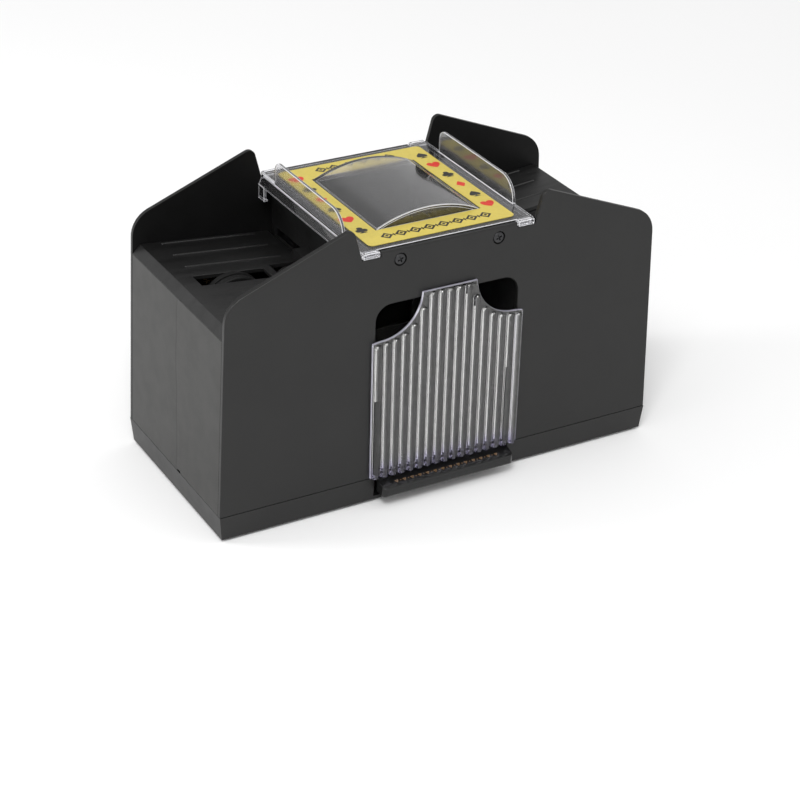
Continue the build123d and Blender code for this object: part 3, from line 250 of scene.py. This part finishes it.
def moulded(name, colour, shine, grain, rubbed=None, mirror=0.4):
    """Moulded plastic: shine is its lowest and highest roughness, grain the height of its relief."""
    material, tree, shader = finish_tree(name)
    patches = number(tree, field(tree, PATCH_SIZE, 4), 0, 1)
    dark, light = shades(colour, PATCH_SHARE)
    tree.links.new(two_tone(tree, patches, dark, light), shader.inputs["Base Color"])
    polish = field(tree, POLISH_SIZE, 5, rubbed or (1, 1, 1))
    tree.links.new(number(tree, polish, *shine), shader.inputs["Roughness"])
    erosion = relief(tree, field(tree, GRAIN_SIZE, 2), grain)
    if rubbed:
        erosion = relief(tree, field(tree, RUB_SIZE, 3, rubbed), grain * RUB_DEPTH, erosion)
    tree.links.new(erosion, shader.inputs["Normal"])
    shader.inputs["Specular IOR Level"].default_value = mirror
    return material


finishes = {
    "black_abs": moulded("satin_black_plastic", SATIN_BLACK, (0.385, 0.425), 0.01 * MM, mirror=0.36),
    "tray_abs": moulded("tray_black_plastic", DEEP_BLACK, (0.3, 0.46), 0.008 * MM, CARD_TRAVEL, 0.6),
    "frame_abs": moulded("matt_black_plastic", DEEP_BLACK, (0.45, 0.6), 0.014 * MM, mirror=0.25),
    "bar_abs": moulded("glossy_black_plastic", (0.007, 0.007, 0.007), (0.12, 0.24), 0.004 * MM),
    "switch_plastic": moulded("phenolic", (0.02, 0.018, 0.016), (0.4, 0.55), 0.01 * MM),
    "grey_nylon": moulded("grey_nylon", (0.32, 0.32, 0.33), (0.38, 0.52), 0.012 * MM),
    "white_acetal": moulded("white_acetal", (0.7, 0.69, 0.63), (0.3, 0.42), 0.008 * MM),
    "red_pvc": moulded("red_lead", (0.5, 0.025, 0.02), (0.35, 0.5), 0.01 * MM),
}
print(len(finishes), "moulded finishes")

# %% [markdown]
# ## Painted shade inside, painted warm light on the ends, and a weld line
# The inner faces of the big panels lie in shade, and that shade is painted into them: they take a
# darker copy of the black plastic that mirrors less. The end panels take a copy painted a little
# lighter and warmer, with a warm tint in what they mirror, for the warm light that falls on them.
# Each end panel was filled from both sides. The two flows met in a wandering line above the pry
# notch, and left a shallow, duller furrow there.

# %% Painted shade, painted warm light and weld line
# Painted shade: the inner faces' darker colour and weaker mirror stand for the shade they lie in.
inner_painted_shade = moulded("inner_painted_shade_plastic", (0.0034, 0.0034, 0.0034), (0.48, 0.58), 0.014 * MM, mirror=0.14)
# Painted warm light: the end panels' colour is a little lighter and warmer than the front's.
end_painted_warm_light = moulded("end_black_painted_warm_light", (0.0082, 0.0081, 0.0077), (0.385, 0.425), 0.01 * MM)
end_tree = end_painted_warm_light.node_tree
end_shader = end_tree.nodes["Principled BSDF"]
# Painted warm reflection: a warm tint in what the end panels mirror.
end_shader.inputs["Specular Tint"].default_value = (1.0, 0.988, 0.95, 1)
WELD_Y = 1.5 * MM
WELD_W = 1.3 * MM        # from the middle of the furrow to its edge
WELD_DEPTH = 0.035 * MM
WANDER = 1.6 * MM
WANDER_SIZE = 45 * MM
END_MIRROR, WELD_MIRROR = 0.4, 0.31

sway = number(end_tree, field(end_tree, WANDER_SIZE, 2), -WANDER, WANDER, 0.3, 0.7)
near = along(end_tree, "Y", WELD_Y - WELD_W, WELD_Y, sway)
far = along(end_tree, "Y", WELD_Y + WELD_W, WELD_Y, sway)
furrow = end_tree.nodes.new("ShaderNodeMath")
furrow.operation = "MULTIPLY"
end_tree.links.new(near, furrow.inputs[0])
end_tree.links.new(far, furrow.inputs[1])
grain_below = end_shader.inputs["Normal"].links[0].from_socket
furrowed = relief(end_tree, furrow.outputs["Value"], -WELD_DEPTH, grain_below)
end_tree.links.new(furrowed, end_shader.inputs["Normal"])
dulled = number(end_tree, furrow.outputs["Value"], END_MIRROR, WELD_MIRROR, 0, 1)
end_tree.links.new(dulled, end_shader.inputs["Specular IOR Level"])
print("core side and weld line")

# %% [markdown]
# ## Clear plastic
# The lid and the drawer are injection-moulded polystyrene. It refracts a little more than window
# glass, and its surface is mirror-smooth except for a gentle waviness where it cooled, and faint
# scuffs. The lid's flanges are hazier, because fingers lift the lid by them. Light that gets into a
# clear plate comes out at its edges, so the lid's rounded edges and the rim of the drawer's front
# have paler finishes of their own, and the foot of the drawer's front looks violet.

# %% Clear plastic
STYRENE_IOR = 1.59
STYRENE = (0.985, 0.98, 1.0)
VIOLET_FOOT = (0.46, 0.42, 0.68)
HANDLED_CLEARNESS = 0.96
HANDLED_HAZE = 0.09
HANDLED_FADE = 1.5 * MM
FADE_BELOW, FADE_ABOVE = 6 * MM, 3 * MM
SCUFF_SIZE = 6 * MM
WAVE_SIZE = 9 * MM


def clear_plastic(name, tint, waves, clearness=0.988, foot=None, handled=None):
    """Clear plastic. Below foot it is tinted, and above handled it is hazy from fingers."""
    material, tree, shader = finish_tree(name)
    shader.inputs["Base Color"].default_value = (*tint, 1)
    if foot:
        rise = along(tree, "Z", foot - FADE_BELOW, foot + FADE_ABOVE)
        tree.links.new(two_tone(tree, rise, VIOLET_FOOT, tint), shader.inputs["Base Color"])
    shader.inputs["Transmission Weight"].default_value = clearness
    shader.inputs["IOR"].default_value = STYRENE_IOR
    scuffs = number(tree, field(tree, SCUFF_SIZE, 6, (1, 1, 0.3)), 0.01, 0.04, 0.5, 0.75)
    if handled:
        touched = along(tree, "Z", handled, handled + HANDLED_FADE)
        hazy = number(tree, touched, clearness, HANDLED_CLEARNESS, 0, 1)
        tree.links.new(hazy, shader.inputs["Transmission Weight"])
        haze = tree.nodes.new("ShaderNodeMath")
        haze.operation = "MULTIPLY_ADD"
        haze.inputs[1].default_value = HANDLED_HAZE
        tree.links.new(touched, haze.inputs[0])
        tree.links.new(scuffs, haze.inputs[2])
        scuffs = haze.outputs["Value"]
    tree.links.new(scuffs, shader.inputs["Roughness"])
    tree.links.new(relief(tree, field(tree, WAVE_SIZE, 1), waves), shader.inputs["Normal"])
    return material


ABOVE_LABEL = 2 * MM
ABOVE_FOOT = 6 * MM
flange_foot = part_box("lid_label")[1].z + ABOVE_LABEL
drawer_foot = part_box("drawer_front")[0].z + ABOVE_FOOT
finishes["clear_styrene"] = clear_plastic("clear_plastic", STYRENE, 0.004 * MM)
lid_plastic = clear_plastic("lid_plastic", STYRENE, 0.004 * MM, handled=flange_foot)
drawer_plastic = clear_plastic("drawer_plastic", (0.66, 0.66, 0.65), 0.0008 * MM, foot=drawer_foot)
edge_plastic = clear_plastic("lit_edge", (0.97, 0.97, 1.0), 0.002 * MM, clearness=0.4)
rim_plastic = clear_plastic("lit_rim", (0.82, 0.8, 0.95), 0.002 * MM, clearness=0.62)
print("clear plastic")

# %% [markdown]
# ## Rubber
# The rollers' tyres, the feet and the pads are soft black rubber: no shine, a fine tooth, and pale
# dust from the cards caught in it.

# %% Rubber
DUST_SIZE = 2.2 * MM
TOOTH_SIZE = 0.25 * MM
TOOTH_DEPTH = 0.04 * MM
CLEAN_RUBBER = (0.004, 0.004, 0.004)
DUSTY_RUBBER = (0.02, 0.0196, 0.019)


def soft_rubber(name):
    material, tree, shader = finish_tree(name)
    dust = number(tree, field(tree, DUST_SIZE, 6, rough=0.7), 0, 1, 0.56, 0.8)
    tree.links.new(two_tone(tree, dust, CLEAN_RUBBER, DUSTY_RUBBER), shader.inputs["Base Color"])
    shader.inputs["Specular IOR Level"].default_value = 0.25
    tree.links.new(number(tree, dust, 0.62, 0.9, 0, 1), shader.inputs["Roughness"])
    tree.links.new(relief(tree, field(tree, TOOTH_SIZE, 3), TOOTH_DEPTH), shader.inputs["Normal"])
    return material


finishes["black_rubber"] = soft_rubber("black_rubber")
print("rubber")

# %% [markdown]
# ## Metals
# Shafts are ground, so their scratches run round them. Screws are blackened, motor cans are drawn
# from plated steel, bushes are sintered bronze and contacts are nickel-plated. One function makes
# them all: a metal's colour, its roughness, and the direction and depth of its scratches.

# %% Metals
STAIN_SIZE = 5 * MM
SCRATCH_SIZE = 0.9 * MM


def metal(name, colour, shine, scratch=(1, 1, 1), depth=0.004, dirt=0.25):
    """Metal: scratch stretches its scratches, and depth is theirs in millimetres."""
    material, tree, shader = finish_tree(name)
    shader.inputs["Metallic"].default_value = 1.0
    stains = number(tree, field(tree, STAIN_SIZE, 5), 0, 1)
    worn, fresh = tuple(part * (1 - dirt) for part in colour), tuple(colour)
    tree.links.new(two_tone(tree, stains, worn, fresh), shader.inputs["Base Color"])
    marks = field(tree, SCRATCH_SIZE, 4, scratch)
    tree.links.new(number(tree, marks, *shine), shader.inputs["Roughness"])
    tree.links.new(relief(tree, marks, depth * MM), shader.inputs["Normal"])
    return material


finishes.update({
    "ground_steel": metal("ground_steel", (0.62, 0.62, 0.61), (0.18, 0.34), (1, 6, 1)),
    "sintered_bronze": metal("sintered_bronze", (0.46, 0.3, 0.14), (0.4, 0.6), depth=0.02, dirt=0.4),
    "turned_brass": metal("turned_brass", (0.72, 0.53, 0.22), (0.2, 0.36), (1, 8, 1)),
    "motor_steel": metal("plated_steel", (0.6, 0.61, 0.6), (0.22, 0.4), (1, 0.3, 1)),
    "blackened_screw": metal("blackened_steel", (0.06, 0.06, 0.062), (0.28, 0.46), depth=0.006),
    "nickel_contact": metal("nickel_plate", (0.66, 0.64, 0.58), (0.14, 0.3)),
})
print(len(finishes), "finishes so far")

# %% [markdown]
# ## Printed card
# The label round the window is printed in one flat yellow on white card, under a thin varnish. Ink
# never covers quite evenly, so the yellow drifts a little, and the varnish has its own faint texture.

# %% Printing inks
COVER_SIZE = 1.5 * MM
SHEEN_SIZE = 4 * MM
VARNISH_SIZE = 0.3 * MM
VARNISH_DEPTH = 0.003 * MM


def ink(name, colour, drift=0.1, shine=(0.3, 0.42)):
    """Ink whose colour drifts by a share, under a varnish that shines unevenly."""
    material, tree, shader = finish_tree(name)
    thin, full = tuple(part * (1 - drift) for part in colour), tuple(colour)
    cover = number(tree, field(tree, COVER_SIZE, 6, rough=0.7), 0, 1)
    tree.links.new(two_tone(tree, cover, thin, full), shader.inputs["Base Color"])
    tree.links.new(number(tree, field(tree, SHEEN_SIZE, 4), *shine), shader.inputs["Roughness"])
    tree.links.new(relief(tree, field(tree, VARNISH_SIZE, 2), VARNISH_DEPTH), shader.inputs["Normal"])
    return material


finishes["yellow_print"] = ink("yellow_ink", (0.62, 0.5, 0.095))
black_ink = ink("black_ink", (0.016, 0.015, 0.013), 0.3)
red_ink = ink("red_ink", (0.66, 0.03, 0.015), 0.15)
gold_ink = ink("gold_ink", (0.26, 0.15, 0.07), 0.3, (0.25, 0.4))
print("inks")

# %% [markdown]
# ## Each part takes its finish
# The record names a material slot for every part, so the finishes are shared out by slot. The lid,
# the drawer's front and the end panels then take their own. The floor is white paper.

# %% Share out the finishes
for part in frame["record"]["subparts"]:
    mesh = nodes[part["node"]].data
    mesh.materials.clear()
    mesh.materials.append(finishes[part["material_slot"]])
nodes["drawer_front"].data.materials[0] = drawer_plastic
nodes["lid_cover"].data.materials[0] = lid_plastic
# The end panels take the finish with painted warm light.
for node in ("left_end_panel", "right_end_panel"):
    nodes[node].data.materials[0] = end_painted_warm_light
WHITE_PAPER = (0.9, 0.9, 0.9)
WHITER_PAPER = (0.92, 0.92, 0.92)
PAPER_PATCH = 0.6
floor_paint, floor_tree, floor_shader = finish_tree("floor_paper")
floor_shader.inputs["Roughness"].default_value = 0.9
floor_tone = number(floor_tree, field(floor_tree, PAPER_PATCH, 2), 0, 1)
floor_colour = two_tone(floor_tree, floor_tone, WHITE_PAPER, WHITER_PAPER)
floor_tree.links.new(floor_colour, floor_shader.inputs["Base Color"])
floor.data.materials.append(floor_paint)
print("finishes shared out")

# %% [markdown]
# ## Softened edges
# No moulding has a truly sharp edge, and on glossy or clear plastic it is the rounded edge that
# catches the light. A part's mesh is copied, its doubled points are merged, its flat faces become
# single faces, and each edge that turns sharply is bevelled. The piece then stands for the CAD part.

# %% Round the edges of the parts that show
def finished(name, shape, material, body):
    """A bmesh made a piece that rides on a body."""
    mesh = bpy.data.meshes.new(name)
    shape.to_mesh(mesh)
    shape.free()
    mesh.materials.append(material)
    piece = bpy.data.objects.new(name, mesh)
    bpy.context.scene.collection.objects.link(piece)
    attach(piece, body)
    return piece


SHARP = math.radians(32)         # edges that turn more than this are rounded
FLAT = math.radians(0.5)         # faces that turn less than this are one face
ROUNDING_STEPS = 2
SAME_POINT = 0.001 * MM
record = frame["record"]
slot_of = {part["node"]: part["material_slot"] for part in record["subparts"]}
body_of = {node: body for body, members in record["behaviour"]["bodies"].items() for node in members}


def softened(node, radius, edge_material=None):
    """A part's mesh with rounded edges, which may have a material of their own."""
    shape = bmesh.new()
    shape.from_mesh(nodes[node].data)
    bmesh.ops.remove_doubles(shape, verts=shape.verts, dist=SAME_POINT)
    bmesh.ops.dissolve_limit(shape, angle_limit=FLAT, verts=shape.verts, edges=shape.edges)
    joined = [edge for edge in shape.edges if len(edge.link_faces) == 2]
    sharp = [edge for edge in joined if edge.calc_face_angle() > SHARP]
    bmesh.ops.bevel(shape, geom=sharp, offset=radius, offset_type="OFFSET", affect="EDGES",
                    segments=ROUNDING_STEPS, profile=0.5, material=1 if edge_material else -1,
                    clamp_overlap=False)
    for face in shape.faces:
        face.smooth = True
    material = nodes[node].data.materials[0]
    piece = finished(node + "_softened", shape, material, body_of[node])
    if edge_material:
        piece.data.materials.append(edge_material)
    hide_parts(node)
    weighting = piece.modifiers.new("flat faces stay flat", "WEIGHTED_NORMAL")
    weighting.keep_sharp = True
    return piece


EDGE_RADII = {
    "lid_cover": 0.28 * MM,
    "drawer_front": 0.3 * MM,
    "left_card_tray": 0.2 * MM,
    "right_card_tray": 0.2 * MM,
    "press_bar": 0.4 * MM,
    "drawer_tray": 0.2 * MM,
    "left_end_panel": 0.25 * MM,
    "right_end_panel": 0.25 * MM,
    "front_panel": 0.25 * MM,
    "back_panel": 0.25 * MM,
}
for node, radius in EDGE_RADII.items():
    piece = softened(node, radius, edge_plastic if node == "lid_cover" else None)
    print(piece.name, len(piece.data.polygons), "faces")

# %% [markdown]
# ## Two finishes on one part
# The inner faces of the front and back panels take the painted shade, and the rim of the
# drawer's front the lit finish. A face is chosen by the way it faces and by where it lies.

# %% Refinish some faces
def refinish(node, material, chosen):
    """Gives the chosen faces of a softened part another finish."""
    mesh = bpy.data.objects[node + "_softened"].data
    mesh.materials.append(material)
    picked = [face for face in mesh.polygons if chosen(face)]
    for face in picked:
        face.material_index = len(mesh.materials) - 1
    print(node, len(picked), "faces in", material.name)


DOOR_T = 1.6 * MM        # the drawer's front without its ribs
STRAIGHT = 0.7           # a normal's least share of Y on a face that counts as facing front or back
door_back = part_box("drawer_front")[1].y


def on_door_rim(face):
    sideways = abs(face.normal.y) < STRAIGHT
    return sideways and face.center.z > drawer_foot and door_back - face.center.y < DOOR_T


refinish("front_panel", inner_painted_shade, lambda face: face.normal.y > STRAIGHT)
refinish("back_panel", inner_painted_shade, lambda face: face.normal.y < -STRAIGHT)
refinish("drawer_front", rim_plastic, on_door_rim)

# %% [markdown]
# ## The springs under the bar
# The two coil springs under the press bar shorten as it goes down. A smooth-shaded copy of them,
# with a mesh of its own, stands for the CAD part; it keeps the length that it was drawn at.

# %% Copy the springs
coils = bmesh.new()
coils.from_mesh(nodes["bar_springs"].data)
for face in coils.faces:
    face.smooth = True
spring_slot = slot_of["bar_springs"]
springs = finished("flexing_springs", coils, finishes[spring_slot], body_of["bar_springs"])
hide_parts("bar_springs")
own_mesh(springs)

# %% [markdown]
# ## Suits and ornaments
# The label carries a column of card suits down each side and a row of ornaments along the front and
# the back. A suit is a plain glyph. It is set as text, made a mesh, and only then moved to its place,
# so that its object stays at the origin. Each is a thin layer of ink on the card.

# %% Glyphs and marks
INK_T = 0.02 * MM
SET_SIZE = 20 * MM       # the size a glyph is set at, before it is scaled
SAME_CORNER = 0.0001 * MM
label_low, label_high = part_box("lid_label")
LABEL_TOP = label_high.z


def raised_faces(shape):
    """Gives flat faces their thickness of ink."""
    raised = bmesh.ops.extrude_face_region(shape, geom=shape.faces[:])
    top = [part for part in raised["geom"] if isinstance(part, bmesh.types.BMVert)]
    bmesh.ops.translate(shape, verts=top, vec=(0, 0, INK_T))
    bmesh.ops.recalc_face_normals(shape, faces=shape.faces)


def glyph(sign, height):
    """A glyph as a bmesh, centred on the origin, its ink thickness upwards."""
    text = bpy.data.curves.new("glyph", "FONT")
    text.body = sign
    text.size = SET_SIZE
    text.resolution_u = 6
    holder = bpy.data.objects.new("glyph", text)
    bpy.context.scene.collection.objects.link(holder)
    bpy.context.view_layer.update()
    flat = bpy.data.meshes.new_from_object(holder)
    bpy.data.objects.remove(holder)
    bpy.data.curves.remove(text)
    shape = bmesh.new()
    shape.from_mesh(flat)
    bpy.data.meshes.remove(flat)
    bmesh.ops.remove_doubles(shape, verts=shape.verts, dist=SAME_CORNER)
    places = [vertex.co for vertex in shape.verts]
    low = Vector(min(place[axis] for place in places) for axis in range(3))
    high = Vector(max(place[axis] for place in places) for axis in range(3))
    bmesh.ops.translate(shape, verts=shape.verts, vec=-(low + high) / 2)
    grow = height / (high.y - low.y)
    bmesh.ops.scale(shape, verts=shape.verts, vec=(grow, grow, 1))
    raised_faces(shape)
    return shape


def add_copy(target, shape, matrix):
    """Adds a transformed copy of one bmesh to another."""
    mesh = bpy.data.meshes.new("copy")
    shape.to_mesh(mesh)
    mesh.transform(matrix)
    target.from_mesh(mesh)
    bpy.data.meshes.remove(mesh)


SUIT_H = 6.2 * MM
SUITS = {sign: glyph(sign, SUIT_H) for sign in "♥♠♦♣"}
HEART, SPADE, DIAMOND, CLUB = "♥♠♦♣"
RED_SUITS = (HEART, DIAMOND)
print({sign: len(shape.faces) for sign, shape in SUITS.items()}, "faces in the suits")

# %% Print the suits down both sides
SIDE_STRIP = 10.7 * MM   # the label beside the window
COLUMN_OUT = 0.8 * MM    # how far the suits stand outside its middle
window_edge = label_high.x - SIDE_STRIP
column_x = (label_high.x + window_edge) / 2 + COLUMN_OUT
RIGHT_COLUMN = (HEART, SPADE, DIAMOND, CLUB, HEART, SPADE)
LEFT_COLUMN = (CLUB, HEART, SPADE, DIAMOND, CLUB, HEART)
FIRST_SUIT = label_low.y + 16.8 * MM
SUIT_PITCH = 12.6 * MM
printed = {True: bmesh.new(), False: bmesh.new()}
for column, side in ((RIGHT_COLUMN, 1), (LEFT_COLUMN, -1)):
    for place, sign in enumerate(column):
        spot = Matrix.Translation((side * column_x, FIRST_SUIT + place * SUIT_PITCH, LABEL_TOP))
        add_copy(printed[sign in RED_SUITS], SUITS[sign], spot)
finished("red_suits", printed[True], red_ink, "lid")
finished("black_suits", printed[False], black_ink, "lid")
for shape in SUITS.values():
    shape.free()
print("suits printed")

# %% [markdown]
# ## Ornaments instead of words
# Bands of ornament run along the front and the back of the label: open lozenges with a solid heart,
# and small lozenges between them. A lozenge is a circle of four segments, and insetting its face
# makes the open one. The press bar has a row of small gold arrowheads and dots, and the arrowheads
# point down the slope of its nose.

# %% Lozenges and arrowheads
def lozenge(width, height, corners=4, line=0.0):
    """A solid lozenge, or an outline of the given line width. Three corners make an arrowhead."""
    shape = bmesh.new()
    bmesh.ops.create_circle(shape, cap_ends=True, segments=corners, radius=0.5)
    bmesh.ops.scale(shape, verts=shape.verts, vec=(width, height, 1))
    if line:
        middle = shape.faces[:]
        bmesh.ops.inset_region(shape, faces=middle, thickness=line, use_boundary=True,
                               use_even_offset=True)
        bmesh.ops.delete(shape, geom=middle, context="FACES_ONLY")
    raised_faces(shape)
    return shape


def band(name, motifs, count, pitch, place, material, body):
    """A row of motifs, centred on place, which is a matrix with X along the row."""
    whole = bmesh.new()
    for step in range(count):
        for shape, shift in motifs:
            offset = (step - (count - 1) / 2) * pitch + shift
            if abs(offset) < count * pitch / 2:
                add_copy(whole, shape, place @ Matrix.Translation((offset, 0, 0)))
    return finished(name, whole, material, body)


# %% Bands on the label
PITCH = 7.4 * MM
open_lozenge = lozenge(6.4 * MM, 6.2 * MM, line=1.0 * MM)
solid_heart = lozenge(1.9 * MM, 1.9 * MM)
slim_lozenge = lozenge(1.2 * MM, 3.4 * MM)
motifs = [(open_lozenge, 0), (solid_heart, 0), (slim_lozenge, PITCH / 2)]
FRONT_BAND_Y = label_low.y + 6.6 * MM
BACK_BAND_Y = label_high.y - 5.6 * MM
for name, y, count in (("front_band", FRONT_BAND_Y, 8), ("back_band", BACK_BAND_Y, 6)):
    place = Matrix.Translation((0, y, LABEL_TOP))
    band(name, motifs, count, PITCH, place, black_ink, "lid")
print("bands of ornament on the label")

# %% Arrowheads on the bar
bar_low, bar_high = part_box("press_bar")
NOSE_DROP = 2.4 * MM
NOSE_RUN = 8 * MM
slope = math.atan2(NOSE_DROP, NOSE_RUN)
ARROW_RUN = 3.4 * MM
arrow_z = bar_high.z - NOSE_DROP * (1 - ARROW_RUN / NOSE_RUN)
arrow_spot = Matrix.Translation((0, bar_low.y + ARROW_RUN, arrow_z))
arrow_place = arrow_spot @ Matrix.Rotation(slope, 4, "X")
ARROW_PITCH = 4.2 * MM
ARROWS = 14
arrow = lozenge(2.2 * MM, 2.0 * MM, 3, 0.26 * MM)
bmesh.ops.rotate(arrow, verts=arrow.verts, cent=(0, 0, 0), matrix=Matrix.Rotation(math.pi, 3, "Z"))
dot = lozenge(0.6 * MM, 0.6 * MM)
row = [(arrow, 0), (dot, ARROW_PITCH / 2)]
band("bar_arrows", row, ARROWS, ARROW_PITCH, arrow_place, gold_ink, "bar")
print(ARROWS, "arrowheads on the bar")
